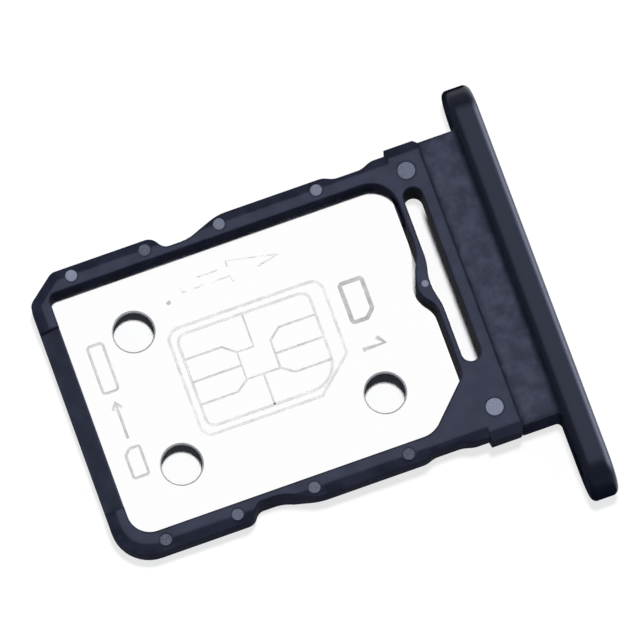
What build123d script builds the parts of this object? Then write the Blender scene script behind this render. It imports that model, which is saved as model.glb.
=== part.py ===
"""Double-sided card tray: a moulded frame round a steel floor plate, with an end cap."""

import os
from math import sqrt

from build123d import *

# The card that each pocket holds
card_length = 12.3
card_width = 8.8
card_thickness = 0.67
card_corner_cut = 1.65

# Card pockets, back to back on the two faces
end_clearance = 0.10
side_clearance = 0.14
corner_clearance = 0.20
card_proud = 0.02
nose_sharp_radius = 0.25
nose_soft_radius = 0.80
tail_radius = 1.00
key_strip_radius = 0.50
key_rail_radius = 0.90

# Floor plate
plate_thickness = 0.20
plate_rim = 0.12
plate_spring_gap = 0.12
plate_hole_radius = 0.70
plate_hole_round = 0.07
plate_hole_offset = 2.48
plate_hole_from_nose = 2.37
plate_hole_from_tail = 2.65

# Guide rails: how far each stretch stands out from the pocket
waist_wall = 0.24
relief_stand = 0.32
pad_stand = 0.51
ear_stand = 0.71

# Guide rails: stretches along the tray, from the nose end and from the tail end of the pocket
first_pad_end = 4.00
waist_slope = 0.30
waist_length = 0.90
waist_ramp = 1.20
relief_lead = 2.15
relief_slope = 0.35
relief_length = 1.00
relief_ramp = 0.40
ear_setback = 0.15
ear_corner = 0.15
pad_round = 0.40
waist_round = 0.35
ramp_round = 1.50
relief_round = 0.60

# Shallow bevels along the outer edges of pads and ears
bevel_width = 0.36
top_bevel_drop = 0.15
under_bevel_drop = 0.60
ear_bevel_width = 0.38

# Nose bar with its lead-in ramps
nose_width = 0.68
nose_cut_length = 1.05
nose_cut_width = 0.85
nose_cut_blend = 0.40
nose_round = 1.35
ramp_shoulder = 1.17
ramp_inner_drop = 0.15
ramp_outer_drop = 0.45

# Spring strip, its bump and the slot behind it
strip_width = 0.21
slot_width = 0.67
slot_left_end = 3.90
slot_right_end = -2.60
bump_left_end = 2.10
bump_crown_left = 0.75
bump_crown_right = 0.20
bump_right_end = -0.57
bump_rise = 0.38
hollow_left_end = 1.45
hollow_depth = 0.12

# Marks of the pins that pushed the moulding out, in its top: places from the nose and the middle
mark_depth = 0.02
mark_root = 0.30
rail_mark_radius = 0.22
rail_mark_offset = 4.93
left_marks_x = (0.99, 3.65, 6.36, 9.90)
right_marks_x = (0.96, 3.55, 6.32, 9.74)
tail_mark_radius = 0.33
tail_marks_x = 13.05
left_tail_mark = 4.53
right_tail_mark = -4.36

# Cross bar and end cap
tail_bar = 0.47
tongue_length = 0.25
tongue_thickness = 0.60
tongue_inset = 0.50
neck_length = 1.37
neck_stand = 0.03
seat_clearance = 0.03
head_thickness = 1.00
head_height = 2.40
head_left_overhang = 1.58
head_right_overhang = 3.15
head_front_round = 0.25
head_rear_round = 0.20
pin_hole_radius = 0.45
pin_hole_inset = 1.50

# Sizes that follow from the values above
pocket_length = card_length + end_clearance
pocket_half = card_width / 2 + side_clearance
pocket_corner_cut = card_corner_cut + end_clearance + side_clearance - sqrt(2) * corner_clearance
pocket_depth = card_thickness - card_proud
frame_thickness = plate_thickness + 2 * pocket_depth
frame_top = frame_thickness / 2
waist_half = pocket_half + waist_wall
relief_half = waist_half + relief_stand
pad_half = waist_half + pad_stand
ear_half = waist_half + ear_stand
ear_start = pocket_length + ear_setback
slot_start = pocket_length + strip_width
slot_end = slot_start + slot_width
frame_end = slot_end + tail_bar
neck_half = pad_half + neck_stand
neck_end = frame_end + neck_length
neck_fillet = ear_half - neck_half + seat_clearance
head_end = neck_end + head_thickness
head_left = neck_half + head_left_overhang
head_right = -neck_half - head_right_overhang

# The origin lies under the middle of the whole tray, at the lowest point of the head
tray_middle_x = (head_end - nose_width) / 2
tray_middle_y = (head_left + head_right) / 2
to_origin = Pos(-tray_middle_x, -tray_middle_y, head_height / 2)


def outline(points):
    """Flat face inside a closed run of straight edges."""
    return make_face(Polyline(*points, close=True))


def corner_at(face, x, y):
    """Vertex of a flat face nearest to a point."""
    return face.vertices().sort_by_distance((x, y, 0))[0]


def slab(face, low, high):
    """Solid of a flat face between two levels."""
    return extrude(Pos(0, 0, low) * face, high - low, dir=(0, 0, 1))


def nose_points():
    """Nose end of the tray's plan: a square corner on the right, a cut one on the left."""
    return [
        (-nose_width, -pad_half),
        (-nose_width, pad_half - nose_cut_width),
        (nose_cut_length - nose_width, pad_half),
    ]


def nose_corners(face):
    """Rounds the three outer corners that lead the tray into its slot."""
    face = fillet(corner_at(face, -nose_width, -pad_half), nose_round)
    face = fillet(corner_at(face, -nose_width, pad_half - nose_cut_width), nose_cut_blend)
    return fillet(corner_at(face, nose_cut_length - nose_width, pad_half), nose_cut_blend)


def rail_points():
    """Outer edge of a rail from its first pad to the tail, as distances along and across."""
    waist_start = first_pad_end + waist_slope
    waist_end = waist_start + waist_length
    second_pad_end = pocket_length - relief_lead
    relief_start = second_pad_end + relief_slope
    relief_end = relief_start + relief_length
    return [
        (first_pad_end, pad_half),
        (waist_start, waist_half),
        (waist_end, waist_half),
        (waist_end + waist_ramp, pad_half),
        (second_pad_end, pad_half),
        (relief_start, relief_half),
        (relief_end, relief_half),
        (relief_end + relief_ramp, pad_half),
        (ear_start, pad_half),
        (ear_start, ear_half),
        (frame_end - ear_corner, ear_half),
        (frame_end, ear_half - ear_corner),
    ]


def frame_outline():
    """Plan of the frame: a cut nose corner on the left, a round one on the right, soft steps."""
    left = rail_points()
    right = [(x, -y) for x, y in reversed(left)]
    face = nose_corners(outline(left + right + nose_points()))
    rounds = (pad_round, waist_round, ramp_round, ramp_round) + 4 * (relief_round,)
    for (x, y), radius in zip(left, rounds):
        face = fillet(corner_at(face, x, y), radius)
        face = fillet(corner_at(face, x, -y), radius)
    return face


def bevelled_envelope():
    """Space that the frame may fill, with shallow bevels along its outer edges."""
    past_end = frame_end + bevel_width
    plan = outline(nose_points() + [(past_end, pad_half), (past_end, -pad_half)])
    pads = slab(nose_corners(plan), -frame_top, frame_top)
    under = pads.faces().sort_by(Axis.Z)[0]
    pads = chamfer(under.edges(), bevel_width, under_bevel_drop, reference=under)
    top = pads.faces().sort_by(Axis.Z)[-1]
    pads = chamfer(top.edges(), bevel_width, top_bevel_drop, reference=top)
    ear_flat = ear_half - ear_bevel_width
    left_side = [
        (ear_flat, frame_top),
        (ear_half, frame_top - top_bevel_drop),
        (ear_half, under_bevel_drop - frame_top),
        (ear_flat, -frame_top),
    ]
    section = outline(left_side + [(-y, z) for y, z in reversed(left_side)])
    ears = extrude(Plane.YZ.offset(ear_start) * section, past_end - ear_start)
    return pads + ears


def pocket_outline():
    """Plan of one card pocket, with the keyed corner at its tail on the right."""
    plan = outline([
        (0, pocket_half),
        (pocket_length, pocket_half),
        (pocket_length, -pocket_half + pocket_corner_cut),
        (pocket_length - pocket_corner_cut, -pocket_half),
        (0, -pocket_half),
    ])
    plan = fillet(corner_at(plan, 0, pocket_half), nose_sharp_radius)
    plan = fillet(corner_at(plan, 0, -pocket_half), nose_soft_radius)
    plan = fillet(corner_at(plan, pocket_length, pocket_half), tail_radius)
    plan = fillet(corner_at(plan, pocket_length, -pocket_half + pocket_corner_cut), key_strip_radius)
    return fillet(corner_at(plan, pocket_length - pocket_corner_cut, -pocket_half), key_rail_radius)


def swell(x, rise, left_end=bump_left_end, margin=0):
    """Smooth hump on a line across the tray at x, rising towards the nose."""
    crest = Spline(
        (x, left_end + margin),
        (x - rise, bump_crown_left),
        (x - rise, bump_crown_right),
        (x, bump_right_end - margin),
        tangents=[(0, -1), (0, -1)],
    )
    return make_face([crest, Line(crest @ 1, crest @ 0)])


def slot_outline():
    """Plan of the slot that lets the spring strip give way."""
    middle_x = (slot_start + slot_end) / 2
    middle_y = (slot_left_end + slot_right_end) / 2
    round_slot = SlotOverall(slot_left_end - slot_right_end, slot_width, rotation=90)
    return Pos(middle_x, middle_y) * round_slot + swell(slot_start, hollow_depth, hollow_left_end)


def floor_plate():
    """Steel plate between the pockets, its rim held in the frame, clear of the spring strip."""
    bare_end = pocket_length - plate_spring_gap
    length = bare_end + plate_rim
    plan = Pos(bare_end - length / 2, 0) * Rectangle(length, 2 * (pocket_half + plate_rim))
    plan -= swell(bare_end, bump_rise, margin=plate_spring_gap)
    tail_hole_x = pocket_length - plate_hole_from_tail
    for x, y in (
        (plate_hole_from_nose, plate_hole_offset),
        (plate_hole_from_nose, -plate_hole_offset),
        (tail_hole_x, -plate_hole_offset),
    ):
        plan -= Pos(x, y) * Circle(plate_hole_radius)
    plate = slab(plan, -plate_thickness / 2, plate_thickness / 2)
    return fillet(plate.edges().filter_by(GeomType.CIRCLE), plate_hole_round)


def nose_ramp():
    """Wedge of space over the nose bar that makes its lead-in ramp."""
    section = outline([
        (0, frame_top),
        (0, frame_top - ramp_inner_drop),
        (-nose_width, frame_top - ramp_outer_drop),
        (-nose_width, frame_top),
    ])
    return extrude(Plane.XZ * section, pocket_half - ramp_shoulder, both=True)


def pin_mark(radius, x, y, low, high):
    """Round peg of space under or over a pin's mark, between two levels."""
    return Pos(x, y, (low + high) / 2) * Cylinder(radius, high - low)


def pin_marks():
    """Places and sizes of the pins' marks along both rails and on the cross bar."""
    marks = [(rail_mark_radius, x, rail_mark_offset) for x in left_marks_x]
    marks += [(rail_mark_radius, x, -rail_mark_offset) for x in right_marks_x]
    marks += [(tail_mark_radius, tail_marks_x, y) for y in (left_tail_mark, right_tail_mark)]
    return marks


def tray_frame(plate, cap):
    """Moulded ring with two pockets, closed round the plate's rim and the cap's tongue."""
    half_plate = plate_thickness / 2
    frame = slab(frame_outline(), -frame_top, frame_top) & bevelled_envelope()
    top_pocket = slab(pocket_outline() - swell(pocket_length, bump_rise), -half_plate, frame_top)
    under_plan = Rot(180, 0, 0) * pocket_outline() - swell(pocket_length, bump_rise)
    under_pocket = slab(under_plan, -frame_top, half_plate)
    frame -= top_pocket
    frame -= under_pocket
    frame -= slab(slot_outline(), -frame_top, frame_top)
    ramp = nose_ramp()
    frame -= ramp
    frame -= Rot(180, 0, 0) * ramp
    mark_level = frame_top - mark_depth
    for mark in pin_marks():
        frame += pin_mark(*mark, mark_level - mark_root, mark_level)
        frame -= pin_mark(*mark, mark_level, frame_top)
    return frame - plate - cap


def end_cap():
    """Head with a neck that closes the slot in the phone, and a tongue held in the frame."""
    head_length = head_left - head_right
    head_middle = (head_left + head_right) / 2
    face = Plane.YZ.offset(neck_end) * (Pos(head_middle, 0) * SlotOverall(head_length, head_height))
    head = extrude(face, head_thickness)
    front = head.faces().sort_by(Axis.X)[-1]
    head = fillet(front.edges(), head_front_round)
    head = fillet(head.faces().sort_by(Axis.X)[0].edges(), head_rear_round)
    middle_x = frame_end + neck_length / 2
    neck = Pos(middle_x, 0, 0) * Box(neck_length, 2 * neck_half, frame_thickness)
    cap = head + neck
    rear = cap.faces().filter_by(Axis.X).sort_by(Axis.X)[1]
    cap = fillet(rear.inner_wires()[0].edges(), neck_fillet)
    tongue = Box(tongue_length, 2 * (neck_half - tongue_inset), tongue_thickness)
    cap += Pos(frame_end - tongue_length / 2, 0, 0) * tongue
    hole = Cylinder(pin_hole_radius, head_thickness, rotation=(0, 90, 0))
    return cap - Pos(neck_end + head_thickness / 2, head_right + pin_hole_inset, 0) * hole


plate = floor_plate()
cap = end_cap()
nodes = {
    "tray_frame": tray_frame(plate, cap),
    "floor_plate": plate,
    "end_cap": cap,
}
os.makedirs("parts", exist_ok=True)
for name, shape in nodes.items():
    export_step(to_origin * shape, f"parts/{name}.step")
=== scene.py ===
"""Looks of a double-sided card tray: dark moulded frame, bright steel floor plate, anodised end cap."""

from math import cos, pi, radians, sin, tan

import bpy
from mathutils import Matrix, Vector


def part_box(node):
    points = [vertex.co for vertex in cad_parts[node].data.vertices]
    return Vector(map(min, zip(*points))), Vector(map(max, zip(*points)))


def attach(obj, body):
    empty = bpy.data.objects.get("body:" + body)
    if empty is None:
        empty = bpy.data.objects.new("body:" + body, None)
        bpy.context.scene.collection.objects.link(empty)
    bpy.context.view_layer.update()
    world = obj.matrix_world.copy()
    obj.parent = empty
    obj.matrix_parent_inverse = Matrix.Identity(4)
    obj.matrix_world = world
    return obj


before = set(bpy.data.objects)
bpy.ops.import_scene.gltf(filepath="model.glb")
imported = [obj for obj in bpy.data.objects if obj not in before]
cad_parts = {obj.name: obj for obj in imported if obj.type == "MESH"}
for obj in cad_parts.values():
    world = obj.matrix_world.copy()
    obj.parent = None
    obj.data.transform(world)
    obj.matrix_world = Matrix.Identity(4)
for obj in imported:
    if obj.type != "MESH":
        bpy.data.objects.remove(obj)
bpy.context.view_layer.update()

MM = 0.001

# Places on the tray, from its solids: marks count from the pocket's nose wall and its centre line
plate_low, plate_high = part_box("floor_plate")
frame_low, frame_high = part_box("tray_frame")
cap_low, cap_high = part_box("end_cap")
plate_rim = 0.12 * MM
nose_wall = plate_low.x + plate_rim
nose_fade = 0.20 * MM
centre_line = (plate_low.y + plate_high.y) / 2
slot_end, slot_fade = centre_line + 3.0 * MM, 0.6 * MM
ramp_half, ramp_fade = 3.37 * MM, 0.05 * MM
ramp_low, ramp_high = centre_line - ramp_half, centre_line + ramp_half
head_thickness = 1.00 * MM
head_rear = cap_high.x - head_thickness

# Engraved marks, in millimetres
stroke_height = 0.004
stroke_step = 0.0003
picture_stroke = 0.105
contact_stroke = 0.08
arrow_stroke = 0.055
tail_stroke = 0.15
nose_stroke = 0.10
card_low = (3.40, -1.85)
card_high = (9.00, 2.10)
card_cut = (1.30, 1.15)
card_round, card_cut_round = 0.42, 0.12
chip_inset = 0.27
chip_tail_inset = 0.55
chip_round = 0.34
chip_corner_round = 1.00
contact_row = 0.84
contact_middle = 0.11
left_contacts_end = 5.46
right_contacts_end = 6.68
contact_slant = 0.43
stem = 6.07
bridge = (-0.42, 0.60)

# The arrow, and what wear has left of its outline, counted from its foot, its barb and its tip
arrow_from, arrow_to, arrow_y = 4.40, 7.95, 3.40
arrow_head = 6.16
arrow_half, arrow_head_half = 0.17, 0.39
foot_left = 0.14
lower_dash, lower_left = (0.42, 0.80), 1.02
upper_dash = (0.66, 1.40)
barb_left = (0.12, 0.03)
tip_left = (0.80, 0.17)
dot_from, dot_to = (3.82, 3.10), (3.86, 2.98)

# Symbols that stand along the tail and the nose of the floor, in millimetres
tail_symbols_x, tail_symbols_height = 9.95, 0.80
tail_card_low, tail_card_high, tail_card_cut = 0.22, 1.65, 0.28
tail_card_round, tail_cut_round = 0.10, 0.05
numeral_y, numeral_flag = -0.80, (0.22, 0.28)
nose_symbols_x, nose_symbols_height = 0.95, 0.55
nose_card_low, nose_card_high, nose_card_cut = -2.40, -1.35, 0.20
nose_card_round, nose_cut_round = 0.08, 0.05
phone_low, phone_high, phone_round = 0.75, 2.50, 0.12
nose_arrow_from, nose_arrow_to = -1.00, 0.35
nose_arrow_barb = (0.17, 0.25)

# Witness marks of the mould's ejector pins, in millimetres
rail_pins_y = 4.93
left_pins_x = (0.99, 3.65, 6.36, 9.90)
right_pins_x = (0.96, 3.55, 6.32, 9.74)
rail_pin_radius = 0.215
tail_pins = ((13.05, 4.53), (13.05, -4.36))
tail_pin_radius = 0.325
strip_pin = (12.29, 0.53)
strip_pin_radius = 0.13
strip_pin_press = 0.75
pin_press = (0.80, 0.25, 0.55, 0.60, 0.26, 0.35, 0.35, 0.20, 0.44, 0.80)
pin_sink, strip_pin_sink = 0.02, 0.0
pin_mark_rise = 0.003
pin_mark_depth = 0.10
pin_sides, pin_taper = 48, 0.93

# Values that a noise texture mostly keeps between
noise_low, noise_high = 0.3, 0.7

# A ray whose count of bounces off matt faces is past this has met one already
first_bounce = 0.5


def linear(colour):
    """Linear RGBA of an sRGB hex colour."""
    channels = [int(colour[i:i + 2], 16) / 255 for i in (1, 3, 5)]
    return [c / 12.92 if c <= 0.04045 else ((c + 0.055) / 1.055) ** 2.4 for c in channels] + [1.0]


def add(tree, kind, inputs=None, **settings):
    """Adds a node, sets its properties and sets or links its inputs.

    Inputs go by name, or by number where names repeat. Map Range takes a value (0), where it comes from
    (1, 2) and goes to (3, 4); Mix takes a share (0) and two numbers (2, 3) or two colours (6, 7).
    """
    node = tree.nodes.new(kind)
    for name, value in settings.items():
        setattr(node, name, value)
    for key, value in (inputs or {}).items():
        if isinstance(value, bpy.types.NodeSocket):
            tree.links.new(value, node.inputs[key])
        else:
            node.inputs[key].default_value = value
    return node


def new_material(name):
    """Empty node material and its tree."""
    material = bpy.data.materials.new(name)
    material.use_nodes = True
    material.node_tree.nodes.clear()
    return material, material.node_tree


def per_metre(size_mm):
    """Texture scale that gives a pattern of a real size on coordinates in metres."""
    return 1 / (size_mm * MM)


def flat_share(tree, normal, wall, flat, steep, level, ahead=0.0):
    """Value that goes from one on upright walls to another on level faces, and on those that face ahead.

    A face whose normal rises by less than steep is a wall, and one past level is flat.
    """
    turn = add(tree, "ShaderNodeSeparateXYZ", {"Vector": normal})
    true_normal = add(tree, "ShaderNodeNewGeometry").outputs["True Normal"]
    face = add(tree, "ShaderNodeSeparateXYZ", {"Vector": true_normal})
    below = add(tree, "ShaderNodeMath", {0: face.outputs["Z"], 1: -1.0}, operation="MULTIPLY")
    rise = add(tree, "ShaderNodeMath", {0: turn.outputs["Z"], 1: below.outputs[0]}, operation="MAXIMUM")
    front = add(tree, "ShaderNodeMapRange", {0: turn.outputs["X"], 4: ahead})
    facing = add(tree, "ShaderNodeCombineXYZ", {"X": front.outputs[0], "Z": rise.outputs[0]})
    lie = add(tree, "ShaderNodeVectorMath", {0: facing.outputs[0]}, operation="LENGTH")
    share = add(tree, "ShaderNodeMapRange", {0: lie.outputs["Value"], 1: steep, 2: level, 3: wall, 4: flat})
    return share.outputs[0]


def within(tree, vector, edges):
    """Value that is 1 inside edges and 0 outside.

    Each edge has an axis, the place where it starts and the place where it is full.
    """
    along = add(tree, "ShaderNodeSeparateXYZ", {"Vector": vector})
    share = 1.0
    for axis, start, full in edges:
        edge = add(tree, "ShaderNodeMapRange", {0: along.outputs[axis], 1: start, 2: full},
                   interpolation_type="SMOOTHSTEP")
        share = add(tree, "ShaderNodeMath", {0: edge.outputs[0], 1: share}, operation="MULTIPLY").outputs[0]
    return share


def moulded_nylon():
    """Glass-filled nylon, injection moulded: a satin dark blue-grey skin with a fine grain and soft edges.

    Bevels and walls have their sheen taken away by how they are turned, which is painted shade; the nose's
    lead-in ramp and its faces towards the head keep theirs, and the seam at the cap has none.
    """
    # The real grain is too fine to show, so it is drawn coarser
    grain_mm, grain_depth_mm, mottle_mm, edge_mm = 0.07, 0.006, 0.60, 0.13
    smooth, coarse = 0.40, 0.50
    wall_sheen, flat_sheen = 0.001, 0.70
    bevel_rise, ramp_rise, flat_rise = 0.93, 0.35, 0.99
    nose_ahead = 0.6
    seam_from, seam_to = frame_high.x - 0.10 * MM, frame_high.x - 0.03 * MM
    material, tree = new_material("moulded_nylon")
    place = add(tree, "ShaderNodeTexCoord").outputs["Object"]
    grain = add(tree, "ShaderNodeTexNoise", {"Vector": place, "Scale": per_metre(grain_mm), "Detail": 3.0})
    mottle = add(tree, "ShaderNodeTexNoise", {"Vector": place, "Scale": per_metre(mottle_mm), "Detail": 4.0})
    skin = add(tree, "ShaderNodeValToRGB", {"Fac": mottle.outputs["Fac"]})
    skin.color_ramp.elements[0].position = 0.35
    skin.color_ramp.elements[0].color = linear("#1C1E29")
    skin.color_ramp.elements[1].position = 0.68
    skin.color_ramp.elements[1].color = linear("#262835")
    rough = add(tree, "ShaderNodeMapRange", {
        0: grain.outputs["Fac"], 1: noise_low, 2: noise_high, 3: smooth, 4: coarse,
    })
    soft = add(tree, "ShaderNodeBevel", {"Radius": edge_mm * MM}, samples=8)
    bump = add(tree, "ShaderNodeBump", {
        "Height": grain.outputs["Fac"], "Strength": 0.3, "Distance": grain_depth_mm * MM,
        "Normal": soft.outputs["Normal"],
    })
    along = add(tree, "ShaderNodeSeparateXYZ", {"Vector": place})
    seam = add(tree, "ShaderNodeMapRange", {0: along.outputs["X"], 1: seam_from, 2: seam_to, 3: 1.0, 4: 0.0})
    nose = add(tree, "ShaderNodeMapRange", {
        0: along.outputs["X"], 1: nose_wall + nose_fade, 2: nose_wall + 2 * nose_fade, 3: nose_ahead, 4: 0.0,
    })
    ramp = within(tree, place, (
        ("X", nose_wall + nose_fade, nose_wall),
        ("Y", ramp_low - ramp_fade, ramp_low + ramp_fade),
        ("Y", ramp_high + ramp_fade, ramp_high - ramp_fade),
    ))
    # Sheen by how a face is turned stands in for light: bevels and walls lose it, a painted shade, except on
    # the lead-in ramp
    steep = add(tree, "ShaderNodeMapRange", {0: ramp, 3: bevel_rise, 4: ramp_rise})
    share = flat_share(tree, soft.outputs["Normal"], wall_sheen, flat_sheen, steep.outputs[0], flat_rise,
                       ahead=nose.outputs[0])
    sheen = add(tree, "ShaderNodeMath", {0: share, 1: seam.outputs[0]}, operation="MULTIPLY")
    shader = add(tree, "ShaderNodeBsdfPrincipled", {
        "Base Color": skin.outputs["Color"], "Roughness": rough.outputs[0], "Normal": bump.outputs["Normal"],
        "IOR": 1.53, "Specular IOR Level": sheen.outputs[0], "Specular Tint": linear("#D2DAFF"),
    })
    add(tree, "ShaderNodeOutputMaterial", {"Surface": shader.outputs["BSDF"]})
    return material


def bright_steel():
    """Cold-rolled stainless sheet, bright annealed: almost a mirror with faint rolling lines.

    Faces turned away from level, at the rim and round the holes, are matt grey: partly the cut metal's own
    finish, partly painted shade on the rounded edges.
    """
    # Real rolling lines are too fine to show, so they are drawn coarser
    line_mm, line_length_mm, line_depth_mm = 0.05, 3.0, 0.001
    smooth, coarse = 0.07, 0.12
    cut_rise, face_rise = 0.90, 0.985
    material, tree = new_material("bright_rolled_stainless")
    coordinates = add(tree, "ShaderNodeTexCoord").outputs
    lines = add(tree, "ShaderNodeMapping", {
        "Vector": coordinates["Object"],
        "Scale": (per_metre(line_length_mm), per_metre(line_mm), per_metre(line_mm)),
    })
    rolling = add(tree, "ShaderNodeTexNoise", {
        "Vector": lines.outputs["Vector"], "Scale": 1.0, "Detail": 3.0,
    })
    colour = add(tree, "ShaderNodeValToRGB", {"Fac": rolling.outputs["Fac"]})
    colour.color_ramp.elements[0].color = linear("#FCFCFC")
    colour.color_ramp.elements[1].color = linear("#FFFFFF")
    rough = add(tree, "ShaderNodeMapRange", {
        0: rolling.outputs["Fac"], 1: noise_low, 2: noise_high, 3: smooth, 4: coarse,
    })
    bump = add(tree, "ShaderNodeBump", {
        "Height": rolling.outputs["Fac"], "Strength": 0.03, "Distance": line_depth_mm * MM,
    })
    face = add(tree, "ShaderNodeBsdfPrincipled", {
        "Base Color": colour.outputs["Color"], "Metallic": 1.0,
        "Roughness": rough.outputs[0], "Normal": bump.outputs["Normal"],
    })
    # Matt grey for faces turned away from level: the cut metal's own finish, and painted shade on the rounded
    # rims
    cut = add(tree, "ShaderNodeBsdfPrincipled", {
        "Base Color": linear("#9A9B9E"), "Roughness": 0.6, "Specular IOR Level": 0.1,
    })
    flat = flat_share(tree, coordinates["Normal"], 0.0, 1.0, cut_rise, face_rise)
    shader = add(tree, "ShaderNodeMixShader", {0: flat, 1: cut.outputs["BSDF"], 2: face.outputs["BSDF"]})
    add(tree, "ShaderNodeOutputMaterial", {"Surface": shader.outputs["Shader"]})
    return material


def anodised_aluminium():
    """Aluminium, bead-blasted and dyed dark blue-grey: a smooth head, and a duller, paler neck with scuffs.

    The flat rear of the head is given nearly the neck's paler colour, painted light on a face the lamps leave
    dark; walls and bevels have their sheen taken away, a painted shade.
    """
    # Real blast marks are too fine to show, so they are drawn coarser
    blast_mm, blast_depth_mm, cloud_mm, edge_mm = 0.05, 0.004, 0.5, 0.38
    head_rough, neck_rough = 0.25, 0.50
    neck_fade = 0.20 * MM
    scuff_low, scuff_high = 0.40, 0.66
    rear_from, rear_full, rear_share = -0.85, -0.98, 0.70
    wall_sheen, flat_sheen = 0.0, 0.43
    bevel_rise, flat_rise = 0.60, 0.97
    material, tree = new_material("anodised_aluminium")
    place = add(tree, "ShaderNodeTexCoord").outputs["Object"]
    blast = add(tree, "ShaderNodeTexNoise", {"Vector": place, "Scale": per_metre(blast_mm), "Detail": 2.0})
    cloud = add(tree, "ShaderNodeTexNoise", {
        "Vector": place, "Scale": per_metre(cloud_mm), "Detail": 6.0, "Roughness": 0.65,
    })
    along = add(tree, "ShaderNodeSeparateXYZ", {"Vector": place})
    neck = add(tree, "ShaderNodeMapRange", {
        0: along.outputs["X"], 1: head_rear - neck_fade, 2: head_rear, 3: 1.0, 4: 0.0,
    })
    head_colour = add(tree, "ShaderNodeMix", {
        0: cloud.outputs["Fac"], 6: linear("#10121A"), 7: linear("#151822"),
    }, data_type="RGBA")
    scuff = add(tree, "ShaderNodeMapRange", {0: cloud.outputs["Fac"], 1: scuff_low, 2: scuff_high})
    neck_colour = add(tree, "ShaderNodeMix", {
        0: scuff.outputs[0], 6: linear("#252834"), 7: linear("#393C4A"),
    }, data_type="RGBA")
    soft = add(tree, "ShaderNodeBevel", {"Radius": edge_mm * MM}, samples=8)
    turn = add(tree, "ShaderNodeSeparateXYZ", {"Vector": soft.outputs["Normal"]})
    # Faces towards the rear take the neck's paler colour: painted light where the lamps leave the face dark
    rear = add(tree, "ShaderNodeMapRange", {
        0: turn.outputs["X"], 1: rear_from, 2: rear_full, 3: 0.0, 4: rear_share,
    })
    neck_or_painted_rear = add(tree, "ShaderNodeMath", {0: neck.outputs[0], 1: rear.outputs[0]}, operation="MAXIMUM")
    colour = add(tree, "ShaderNodeMix", {
        0: neck_or_painted_rear.outputs[0], 6: head_colour.outputs[2], 7: neck_colour.outputs[2],
    }, data_type="RGBA")
    rough = add(tree, "ShaderNodeMapRange", {0: neck.outputs[0], 3: head_rough, 4: neck_rough})
    bump = add(tree, "ShaderNodeBump", {
        "Height": blast.outputs["Fac"], "Strength": 0.35, "Distance": blast_depth_mm * MM,
        "Normal": soft.outputs["Normal"],
    })
    # Sheen by how a face is turned: walls and bevels lose it, a painted shade; faces towards the head's front
    # keep it
    sheen = flat_share(tree, soft.outputs["Normal"], wall_sheen, flat_sheen, bevel_rise, flat_rise, ahead=1.0)
    shader = add(tree, "ShaderNodeBsdfPrincipled", {
        "Base Color": colour.outputs[2], "Roughness": rough.outputs[0], "Normal": bump.outputs["Normal"],
        "IOR": 1.60, "Specular IOR Level": sheen, "Specular Tint": linear("#D2DAFF"),
    })
    add(tree, "ShaderNodeOutputMaterial", {"Surface": shader.outputs["BSDF"]})
    return material


def laser_marked_steel(name, dark, pale):
    """Steel marked by laser: a matt grey oxide line, a little uneven along the stroke."""
    patch_mm = 0.35
    material, tree = new_material(name)
    place = add(tree, "ShaderNodeTexCoord").outputs["Object"]
    patch = add(tree, "ShaderNodeTexNoise", {"Vector": place, "Scale": per_metre(patch_mm), "Detail": 3.0})
    colour = add(tree, "ShaderNodeValToRGB", {"Fac": patch.outputs["Fac"]})
    colour.color_ramp.elements[0].position = noise_low
    colour.color_ramp.elements[0].color = linear(dark)
    colour.color_ramp.elements[1].position = noise_high
    colour.color_ramp.elements[1].color = linear(pale)
    shader = add(tree, "ShaderNodeBsdfPrincipled", {
        "Base Color": colour.outputs["Color"], "Roughness": 0.85, "Specular IOR Level": 0.1,
    })
    add(tree, "ShaderNodeOutputMaterial", {"Surface": shader.outputs["BSDF"]})
    return material


def pin_polished_nylon():
    """The same nylon pressed smooth and pale by the end of an ejector pin, with turning marks."""
    turning_mm, unevenness = 0.05, 0.12
    material, tree = new_material("pin_polished_nylon")
    place = add(tree, "ShaderNodeTexCoord").outputs["Object"]
    turning = add(tree, "ShaderNodeTexNoise", {
        "Vector": place, "Scale": per_metre(turning_mm), "Detail": 2.0,
    })
    press = add(tree, "ShaderNodeAttribute", attribute_name="pin_press")
    uneven = add(tree, "ShaderNodeMapRange", {
        0: turning.outputs["Fac"], 1: noise_low, 2: noise_high, 3: -unevenness, 4: unevenness,
    })
    pale = add(tree, "ShaderNodeMath", {0: press.outputs["Fac"], 1: uneven.outputs[0]},
               operation="ADD", use_clamp=True)
    colour = add(tree, "ShaderNodeMix", {0: pale.outputs[0], 6: linear("#2F3240"), 7: linear("#818596")},
                 data_type="RGBA")
    shader = add(tree, "ShaderNodeBsdfPrincipled", {
        "Base Color": colour.outputs[2], "Roughness": 0.5, "IOR": 1.53, "Specular IOR Level": 0.2,
    })
    add(tree, "ShaderNodeOutputMaterial", {"Surface": shader.outputs["BSDF"]})
    return material


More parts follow.
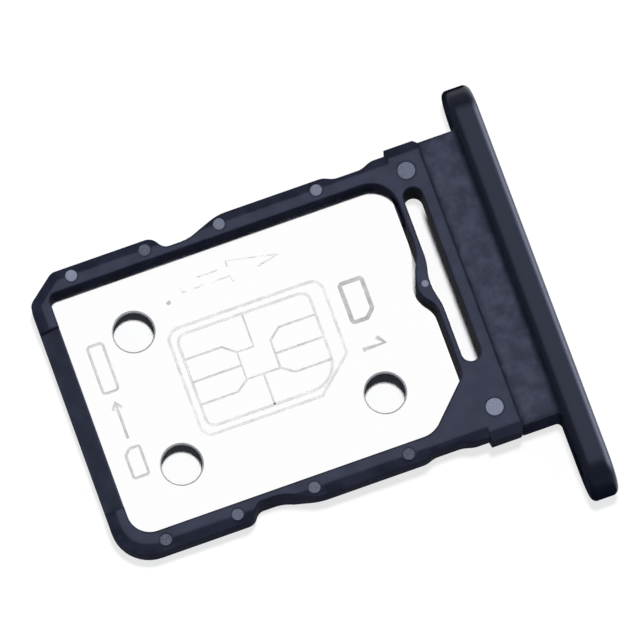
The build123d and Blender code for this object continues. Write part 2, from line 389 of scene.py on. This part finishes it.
def studio_floor():
    """Matt white sheet that glows round the tray and throws little light back up.

    It is clear from below, so that the underside can be seen.
    """
    glow_level, fibre_mm = 0.75, 0.8
    material, tree = new_material("white_sheet")
    place = add(tree, "ShaderNodeTexCoord").outputs["Object"]
    fibre = add(tree, "ShaderNodeTexNoise", {"Vector": place, "Scale": per_metre(fibre_mm)})
    colour = add(tree, "ShaderNodeMix", {0: fibre.outputs["Fac"], 6: linear("#FAFAFA"), 7: linear("#FFFFFF")},
                 data_type="RGBA")
    path = add(tree, "ShaderNodeLightPath")
    bounce = add(tree, "ShaderNodeMath", {0: path.outputs["Diffuse Depth"], 1: first_bounce},
                 operation="GREATER_THAN")
    shade = add(tree, "ShaderNodeMix", {0: bounce.outputs[0], 6: colour.outputs[2], 7: linear("#303034")},
                data_type="RGBA")
    matt = add(tree, "ShaderNodeBsdfDiffuse", {"Color": shade.outputs[2]})
    # Under the plate and the slot the sheet lies in the tray's shade, so it has no glow there
    plate_shade = within(tree, place, (
        ("X", plate_low.x - plate_rim, plate_low.x), ("X", plate_high.x + plate_rim, plate_high.x),
        ("Y", plate_low.y - plate_rim, plate_low.y), ("Y", plate_high.y + plate_rim, plate_high.y),
    ))
    slot_shade = within(tree, place, (
        ("X", plate_high.x, plate_high.x + plate_rim), ("X", cap_low.x, cap_low.x - plate_rim),
        ("Y", plate_low.y - plate_rim, plate_low.y), ("Y", slot_end + slot_fade, slot_end),
    ))
    under = add(tree, "ShaderNodeMath", {0: plate_shade, 1: slot_shade}, operation="MAXIMUM")
    plain = add(tree, "ShaderNodeMath", {0: 1.0, 1: path.outputs["Is Glossy Ray"]}, operation="SUBTRACT")
    hidden = add(tree, "ShaderNodeMath", {0: under.outputs[0], 1: plain.outputs[0]}, operation="MULTIPLY")
    dim = add(tree, "ShaderNodeMath", {0: hidden.outputs[0], 1: bounce.outputs[0]}, operation="MAXIMUM")
    share = add(tree, "ShaderNodeMapRange", {0: dim.outputs[0], 3: glow_level, 4: 0.0})
    glow = add(tree, "ShaderNodeEmission", {"Color": colour.outputs[2]})
    sheet = add(tree, "ShaderNodeMixShader", {
        0: share.outputs[0], 1: matt.outputs["BSDF"], 2: glow.outputs["Emission"],
    })
    clear = add(tree, "ShaderNodeBsdfTransparent")
    back = add(tree, "ShaderNodeNewGeometry").outputs["Backfacing"]
    side = add(tree, "ShaderNodeMixShader", {0: back, 1: sheet.outputs["Shader"], 2: clear.outputs["BSDF"]})
    add(tree, "ShaderNodeOutputMaterial", {"Surface": side.outputs["Shader"]})
    return material


def geometry_tree(name, sizes):
    """Node group for a modifier, with a geometry input, named sizes in metres and a material."""
    tree = bpy.data.node_groups.new(name, "GeometryNodeTree")
    tree.is_modifier = True
    tree.interface.new_socket("Geometry", in_out="INPUT", socket_type="NodeSocketGeometry")
    for size in sizes:
        tree.interface.new_socket(size, in_out="INPUT", socket_type="NodeSocketFloat")
    tree.interface.new_socket("Material", in_out="INPUT", socket_type="NodeSocketMaterial")
    tree.interface.new_socket("Geometry", in_out="OUTPUT", socket_type="NodeSocketGeometry")
    return tree, add(tree, "NodeGroupInput")


def close_tree(tree, given, geometry):
    """Ends a tree: instances made real, then the material."""
    real = add(tree, "GeometryNodeRealizeInstances", {"Geometry": geometry})
    done = add(tree, "GeometryNodeSetMaterial", {
        "Geometry": real.outputs[0], "Material": given.outputs["Material"],
    })
    add(tree, "NodeGroupOutput", {0: done.outputs[0]})
    return tree


def stroke_tree():
    """Flat ribbons along every line of a curve, each a hair higher than the last so that no faces meet."""
    tree, given = geometry_tree("engraved_strokes", ("Width", "Height", "Step"))
    line = add(tree, "GeometryNodeCurveOfPoint")
    order = add(tree, "ShaderNodeMath", {0: line.outputs["Curve Index"], 1: given.outputs["Step"]},
                operation="MULTIPLY")
    rise = add(tree, "ShaderNodeCombineXYZ", {"Z": order.outputs[0]})
    placed = add(tree, "GeometryNodeSetPosition", {
        "Geometry": given.outputs["Geometry"], "Offset": rise.outputs[0],
    })
    upright = add(tree, "GeometryNodeSetCurveNormal", {"Curve": placed.outputs[0]}, mode="Z_UP")
    profile = add(tree, "GeometryNodeCurvePrimitiveQuadrilateral", {
        "Width": given.outputs["Width"], "Height": given.outputs["Height"],
    })
    ribbon = add(tree, "GeometryNodeCurveToMesh", {
        "Curve": upright.outputs[0], "Profile Curve": profile.outputs[0], "Fill Caps": True,
    })
    level = add(tree, "GeometryNodeSetShadeSmooth", {"Geometry": ribbon.outputs[0], "Shade Smooth": False})
    return close_tree(tree, given, level.outputs[0])


def pin_mark_tree():
    """A low peg with a tapered rim at every point, as wide as the point's own radius."""
    tree, given = geometry_tree("ejector_pin_marks", ("Depth", "Rise"))
    peg = add(tree, "GeometryNodeMeshCone", {
        "Vertices": pin_sides, "Radius Top": pin_taper, "Radius Bottom": 1.0, "Depth": 1.0,
    })
    radius = add(tree, "GeometryNodeInputNamedAttribute", {"Name": "pin_radius"}, data_type="FLOAT")
    depth = add(tree, "ShaderNodeMath", {0: given.outputs["Depth"], 1: given.outputs["Rise"]},
                operation="ADD")
    size = add(tree, "ShaderNodeCombineXYZ", {
        "X": radius.outputs[0], "Y": radius.outputs[0], "Z": depth.outputs[0],
    })
    drop = add(tree, "ShaderNodeMath", {0: given.outputs["Depth"], 1: -1.0}, operation="MULTIPLY")
    offset = add(tree, "ShaderNodeCombineXYZ", {"Z": drop.outputs[0]})
    points = add(tree, "GeometryNodeMeshToPoints", {"Mesh": given.outputs["Geometry"]})
    lowered = add(tree, "GeometryNodeSetPosition", {
        "Geometry": points.outputs[0], "Offset": offset.outputs[0],
    })
    pegs = add(tree, "GeometryNodeInstanceOnPoints", {
        "Points": lowered.outputs[0], "Instance": peg.outputs["Mesh"], "Scale": size.outputs[0],
    })
    return close_tree(tree, given, pegs.outputs[0])


def grown(name, source, tree, material, **sizes):
    """Plain mesh piece that a node tree grows on a source object, which is then removed."""
    bpy.context.scene.collection.objects.link(source)
    modifier = source.modifiers.new("grow", "NODES")
    modifier.node_group = tree
    sockets = {item.name: item.identifier for item in tree.interface.items_tree if item.in_out == "INPUT"}
    for size, value in sizes.items():
        modifier[sockets[size.capitalize()]] = value
    modifier[sockets["Material"]] = material
    seen = source.evaluated_get(bpy.context.evaluated_depsgraph_get())
    mesh = bpy.data.meshes.new_from_object(seen)
    mesh.name = name
    piece = bpy.data.objects.new(name, mesh)
    bpy.context.scene.collection.objects.link(piece)
    bpy.data.objects.remove(source)
    return piece


def on_tray(x, y, level):
    """Point in the row's frame of a place on the tray in millimetres, at a level in metres."""
    return Vector((nose_wall + x * MM, centre_line + y * MM, level))


def rounded(points, rounds, steps=8):
    """Closed line through points with its corners rounded; rounds has a radius for each corner."""
    line = []
    count = len(points)
    for i, (point, radius) in enumerate(zip(points, rounds)):
        here = Vector(point)
        back = (Vector(points[i - 1]) - here).normalized()
        ahead = (Vector(points[(i + 1) % count]) - here).normalized()
        half = back.angle(ahead) / 2
        reach = radius / tan(half)
        centre = here + (back + ahead).normalized() * (radius / sin(half))
        first = (here + back * reach - centre).normalized()
        last = (here + ahead * reach - centre).normalized()
        for k in range(steps + 1):
            line.append(tuple(centre + first.slerp(last, k / steps) * radius))
    return line


def line_curve(name, lines, level):
    """Curve object of straight-edged lines, each a list of places and whether it is closed."""
    curve = bpy.data.curves.new(name, "CURVE")
    curve.dimensions = "3D"
    for places, closed in lines:
        spline = curve.splines.new("POLY")
        spline.points.add(len(places) - 1)
        spline.use_cyclic_u = closed
        for point, (x, y) in zip(spline.points, places):
            point.co = (*on_tray(x, y, level), 1.0)
    return bpy.data.objects.new(name, curve)


def place_points(name, places, level, **attributes):
    """Mesh of loose points at places on the tray, with a number for each in named attributes."""
    mesh = bpy.data.meshes.new(name)
    mesh.from_pydata([on_tray(x, y, level) for x, y in places], [], [])
    for attribute, values in attributes.items():
        mesh.attributes.new(attribute, "FLOAT", "POINT").data.foreach_set("value", values)
    return bpy.data.objects.new(name, mesh)


def card_picture():
    """Outlines of a card with a cut corner and of the chip on it."""
    (left, low), (right, high) = card_low, card_high
    cut_x, cut_y = card_cut
    card = [(left, high), (right, high), (right, low + cut_y), (right - cut_x, low), (left, low)]
    card_rounds = (card_round, card_round, card_cut_round, card_cut_round, card_round)
    chip_left, chip_right = left + chip_inset, right - chip_tail_inset
    chip = [(chip_left, high - chip_inset), (chip_right, high - chip_inset),
            (chip_right, low + chip_inset), (chip_left, low + chip_inset)]
    chip_rounds = (chip_round, chip_round, chip_corner_round, chip_round)
    return [(rounded(card, card_rounds), True), (rounded(chip, chip_rounds), True)]


def contact_lines():
    """Lines that part the chip into its contacts."""
    chip_left, chip_right = card_low[0] + chip_inset, card_high[0] - chip_tail_inset
    chip_top, chip_bottom = card_high[1] - chip_inset, card_low[1] + chip_inset
    bridge_low, bridge_high = bridge
    upper, lower = contact_middle + contact_row, contact_middle - contact_row
    left_slant, right_slant = left_contacts_end - contact_slant, right_contacts_end + contact_slant
    lines = [
        [(stem, chip_top), (stem, bridge_high), (left_contacts_end, bridge_high),
         (left_contacts_end, bridge_low), (right_contacts_end, bridge_low)],
        [(stem, bridge_low), (stem, chip_bottom)],
        [(chip_left, upper), (left_slant, upper), (left_contacts_end, bridge_high)],
        [(chip_left, contact_middle), (left_contacts_end, contact_middle)],
        [(chip_left, lower), (left_slant, lower), (left_contacts_end, bridge_low)],
        [(chip_right, upper), (right_slant, upper), (right_contacts_end, bridge_high),
         (right_contacts_end, bridge_low)],
        [(chip_right, contact_middle), (right_contacts_end, contact_middle)],
        [(chip_right, lower), (right_slant, lower), (right_contacts_end, bridge_low)],
    ]
    return [(line, False) for line in lines]


def arrow_lines():
    """Outlined arrow that points the way the tray is drawn out, worn away in places."""
    upper, lower = arrow_y + arrow_half, arrow_y - arrow_half
    barb_upper, barb_lower = arrow_y + arrow_head_half, arrow_y - arrow_head_half
    tip = (arrow_to, arrow_y)
    worn = [
        [(arrow_from, arrow_y), (arrow_from, lower), (arrow_from + foot_left, lower)],
        [(arrow_from + x, lower) for x in lower_dash],
        [(arrow_from + lower_left, lower), (arrow_head, lower), (arrow_head, barb_lower),
         (arrow_head + barb_left[0], barb_lower + barb_left[1])],
        [(arrow_from + x, upper) for x in upper_dash],
        [(arrow_head, upper), (arrow_head, barb_upper), tip],
        [(arrow_to - tip_left[0], arrow_y - tip_left[1]), tip],
    ]
    return [(line, False) for line in worn]


def tail_lines():
    """Plain signs at the floor's tail, a card and the numeral 1, and the dot by the arrow."""
    half = tail_symbols_height / 2
    low, high = tail_symbols_x - half, tail_symbols_x + half
    card = [(low, tail_card_high), (high, tail_card_high), (high, tail_card_low + tail_card_cut),
            (high - tail_card_cut, tail_card_low), (low, tail_card_low)]
    card_rounds = (tail_card_round, tail_card_round, tail_cut_round, tail_cut_round, tail_card_round)
    flag_x, flag_y = numeral_flag
    numeral = [(high - flag_x, numeral_y + flag_y), (high, numeral_y), (low, numeral_y)]
    return [(rounded(card, card_rounds), True), (numeral, False), ([dot_from, dot_to], False)]


def nose_lines():
    """Plain sign at the floor's nose: a card going into a phone."""
    half = nose_symbols_height / 2
    middle = nose_symbols_x
    low, high = middle - half, middle + half
    card = [(low, nose_card_low), (low, nose_card_high - nose_card_cut),
            (low + nose_card_cut, nose_card_high), (high, nose_card_high), (high, nose_card_low)]
    card_rounds = (nose_card_round, nose_cut_round, nose_cut_round, nose_card_round, nose_card_round)
    phone = [(low, phone_low), (low, phone_high), (high, phone_high), (high, phone_low)]
    barb_x, barb_y = nose_arrow_barb
    barb_foot = nose_arrow_to - barb_y
    tip = (middle, nose_arrow_to)
    return [
        (rounded(card, card_rounds), True),
        (rounded(phone, (phone_round,) * len(phone)), True),
        ([(middle, nose_arrow_from), tip], False),
        ([(middle - barb_x, barb_foot), tip, (middle + barb_x, barb_foot)], False),
    ]


# Materials on the solids
for node, material in (
    ("tray_frame", moulded_nylon()),
    ("floor_plate", bright_steel()),
    ("end_cap", anodised_aluminium()),
):
    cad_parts[node].data.materials.clear()
    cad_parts[node].data.materials.append(material)

# Engraved marks on the floor plate
worn_mark = laser_marked_steel("worn_marked_steel", "#C5C3C0", "#F3F1EE")
faint_mark = laser_marked_steel("faint_marked_steel", "#C8C6C3", "#DFDDDA")
light_mark = laser_marked_steel("laser_marked_steel", "#B6B4B1", "#D4D2CF")
deep_mark = laser_marked_steel("deep_marked_steel", "#A2A09D", "#C4C2BF")
strokes = stroke_tree()
for name, lines, width, mark in (
    ("card_picture", card_picture(), picture_stroke, faint_mark),
    ("contact_picture", contact_lines(), contact_stroke, light_mark),
    ("draw_arrow", arrow_lines(), arrow_stroke, worn_mark),
    ("tail_symbols", tail_lines(), tail_stroke, deep_mark),
    ("nose_symbols", nose_lines(), nose_stroke, light_mark),
):
    source = line_curve(name + "_lines", lines, plate_high.z)
    piece = grown(name, source, strokes, mark,
                  width=width * MM, height=stroke_height * MM, step=stroke_step * MM)
    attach(piece, "root")

# Witness marks of the ejector pins
polished = pin_polished_nylon()
pegs = pin_mark_tree()
rail_pins = [(x, rail_pins_y) for x in left_pins_x] + [(x, -rail_pins_y) for x in right_pins_x]
radii = [rail_pin_radius * MM] * len(rail_pins) + [tail_pin_radius * MM] * len(tail_pins)
for name, places, radius, press, sink in (
    ("ejector_pin_marks", rail_pins + list(tail_pins), radii, pin_press, pin_sink),
    ("strip_pin_mark", [strip_pin], [strip_pin_radius * MM], [strip_pin_press], strip_pin_sink),
):
    level = frame_high.z - sink * MM
    source = place_points(name + "_places", places, level, pin_radius=radius, pin_press=press)
    piece = grown(name, source, pegs, polished, depth=pin_mark_depth * MM, rise=pin_mark_rise * MM)
    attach(piece, "root")

# Floor: a sheet that touches the underside of the head and of the nose
nose_foot_in, head_foot_in = 0.30 * MM, 0.08 * MM
floor_gap = 0.001 * MM
floor_half = 1.5
nose_foot = Vector((frame_low.x + nose_foot_in, 0, frame_low.z))
head_foot = Vector((head_rear + head_foot_in, 0, cap_low.z))
slope = (nose_foot.z - head_foot.z) / (nose_foot.x - head_foot.x)
corners = [(x, y, head_foot.z + slope * (x - head_foot.x) - floor_gap)
           for x, y in ((-floor_half, -floor_half), (floor_half, -floor_half),
                        (floor_half, floor_half), (-floor_half, floor_half))]
sheet_mesh = bpy.data.meshes.new("floor_sheet")
sheet_mesh.from_pydata(corners, [], [(0, 1, 2, 3)])
sheet_mesh.materials.append(studio_floor())
sheet = bpy.data.objects.new("floor_sheet", sheet_mesh)
bpy.context.scene.collection.objects.link(sheet)

# Camera: a long lens almost straight above, turned so that the tray lies across the picture
azimuth, elevation, roll = radians(-15.5), radians(75.5), radians(-4.3)
aim = Vector((0.807, 1.511, 1.20)) * MM
picture_pixels, pixels_per_mm = 640, 29.17
picture_side = picture_pixels / pixels_per_mm * MM
camera_distance = 0.30
lens = bpy.data.cameras.new("long_lens")
lens.sensor_width = 36
lens.lens = lens.sensor_width * camera_distance / picture_side
lens.clip_start, lens.clip_end = 0.01, 10
camera = bpy.data.objects.new("camera", lens)
back = Vector((sin(azimuth) * cos(elevation), -cos(azimuth) * cos(elevation), sin(elevation)))
turn = (-back).to_track_quat("-Z", "Y").to_matrix() @ Matrix.Rotation(roll, 3, "Z")
camera.matrix_world = Matrix.Translation(aim + back * camera_distance) @ turn.to_4x4()
bpy.context.scene.collection.objects.link(camera)
bpy.context.scene.camera = camera

# Key light: a small lamp almost overhead, which the bright plate does not mirror
key_direction = Vector((0.06, 0.045, 1.00)).normalized()
key_distance = 0.40
key_radius = 0.020
key_level = 0.96
key = bpy.data.lights.new("key", "AREA")
key.shape = "DISK"
key.size = 2 * key_radius
key.energy = key_level * pi ** 2 * key_distance ** 2
key_lamp = bpy.data.objects.new("key", key)
key_lamp.visible_glossy = False
key_lamp.matrix_world = (Matrix.Translation(key_direction * key_distance)
                         @ key_direction.to_track_quat("Z", "Y").to_matrix().to_4x4())
bpy.context.scene.collection.objects.link(key_lamp)

# World: white behind the tray. Mirrored, it is a tent with a bright panel above, a narrow lamp on the head's
# side and pale walls low down. What it gives to matt faces comes mostly from a bright band low down.
panel_edges = (("X", -0.45, -0.15), ("X", 0.62, 0.38), ("Y", -0.16, -0.02), ("Y", 0.70, 0.45))
side_level, side_edges = 6.0, (("X", 0.45, 0.95), ("Y", -0.55, -0.20), ("Y", 0.58, 0.30))
room_level, room_walls, room_edges = 0.10, 0.30, (0.62, 0.30)
fill_level, fill_walls, fill_edges = 0.12, 2.50, (0.45, 0.20)
world = bpy.data.worlds.new("light_tent")
world.use_nodes = True
tent = world.node_tree
tent.nodes.clear()
path = add(tent, "ShaderNodeLightPath")
outward = add(tent, "ShaderNodeTexCoord").outputs["Generated"]
direction = add(tent, "ShaderNodeSeparateXYZ", {"Vector": outward})
panel = within(tent, outward, panel_edges)
side_lamp = within(tent, outward, side_edges)
side = add(tent, "ShaderNodeMath", {0: side_lamp, 1: side_level}, operation="MULTIPLY")
room, fill = (
    add(tent, "ShaderNodeMapRange", {0: direction.outputs["Z"], 1: edges[0], 2: edges[1], 3: level, 4: walls},
        interpolation_type="SMOOTHSTEP").outputs[0]
    for edges, level, walls in ((room_edges, room_level, room_walls), (fill_edges, fill_level, fill_walls))
)
lamps = add(tent, "ShaderNodeMath", {0: panel, 1: side.outputs[0]}, operation="MAXIMUM")
mirrored = add(tent, "ShaderNodeMath", {0: lamps.outputs[0], 1: room}, operation="MAXIMUM")
direct = add(tent, "ShaderNodeMath", {0: path.outputs["Diffuse Depth"], 1: first_bounce},
             operation="LESS_THAN")
glossy = add(tent, "ShaderNodeMath", {0: direct.outputs[0], 1: path.outputs["Is Glossy Ray"]},
             operation="MULTIPLY")
seen = add(tent, "ShaderNodeMath", {0: path.outputs["Is Camera Ray"], 1: path.outputs["Is Transmission Ray"]},
           operation="MAXIMUM")
lit = add(tent, "ShaderNodeMix", {0: glossy.outputs[0], 2: fill, 3: mirrored.outputs[0]})
strength = add(tent, "ShaderNodeMix", {0: seen.outputs[0], 2: lit.outputs[0], 3: 1.0})
white = add(tent, "ShaderNodeMath", {0: seen.outputs[0], 1: glossy.outputs[0]}, operation="MAXIMUM")
tint = add(tent, "ShaderNodeMix", {0: white.outputs[0], 6: linear("#DDE8F8"), 7: linear("#FFFFFF")},
           data_type="RGBA")
sky = add(tent, "ShaderNodeBackground", {"Color": tint.outputs[2], "Strength": strength.outputs[0]})
add(tent, "ShaderNodeOutputWorld", {"Surface": sky.outputs["Background"]})
bpy.context.scene.world = world

bpy.context.scene.view_settings.view_transform = "Standard"
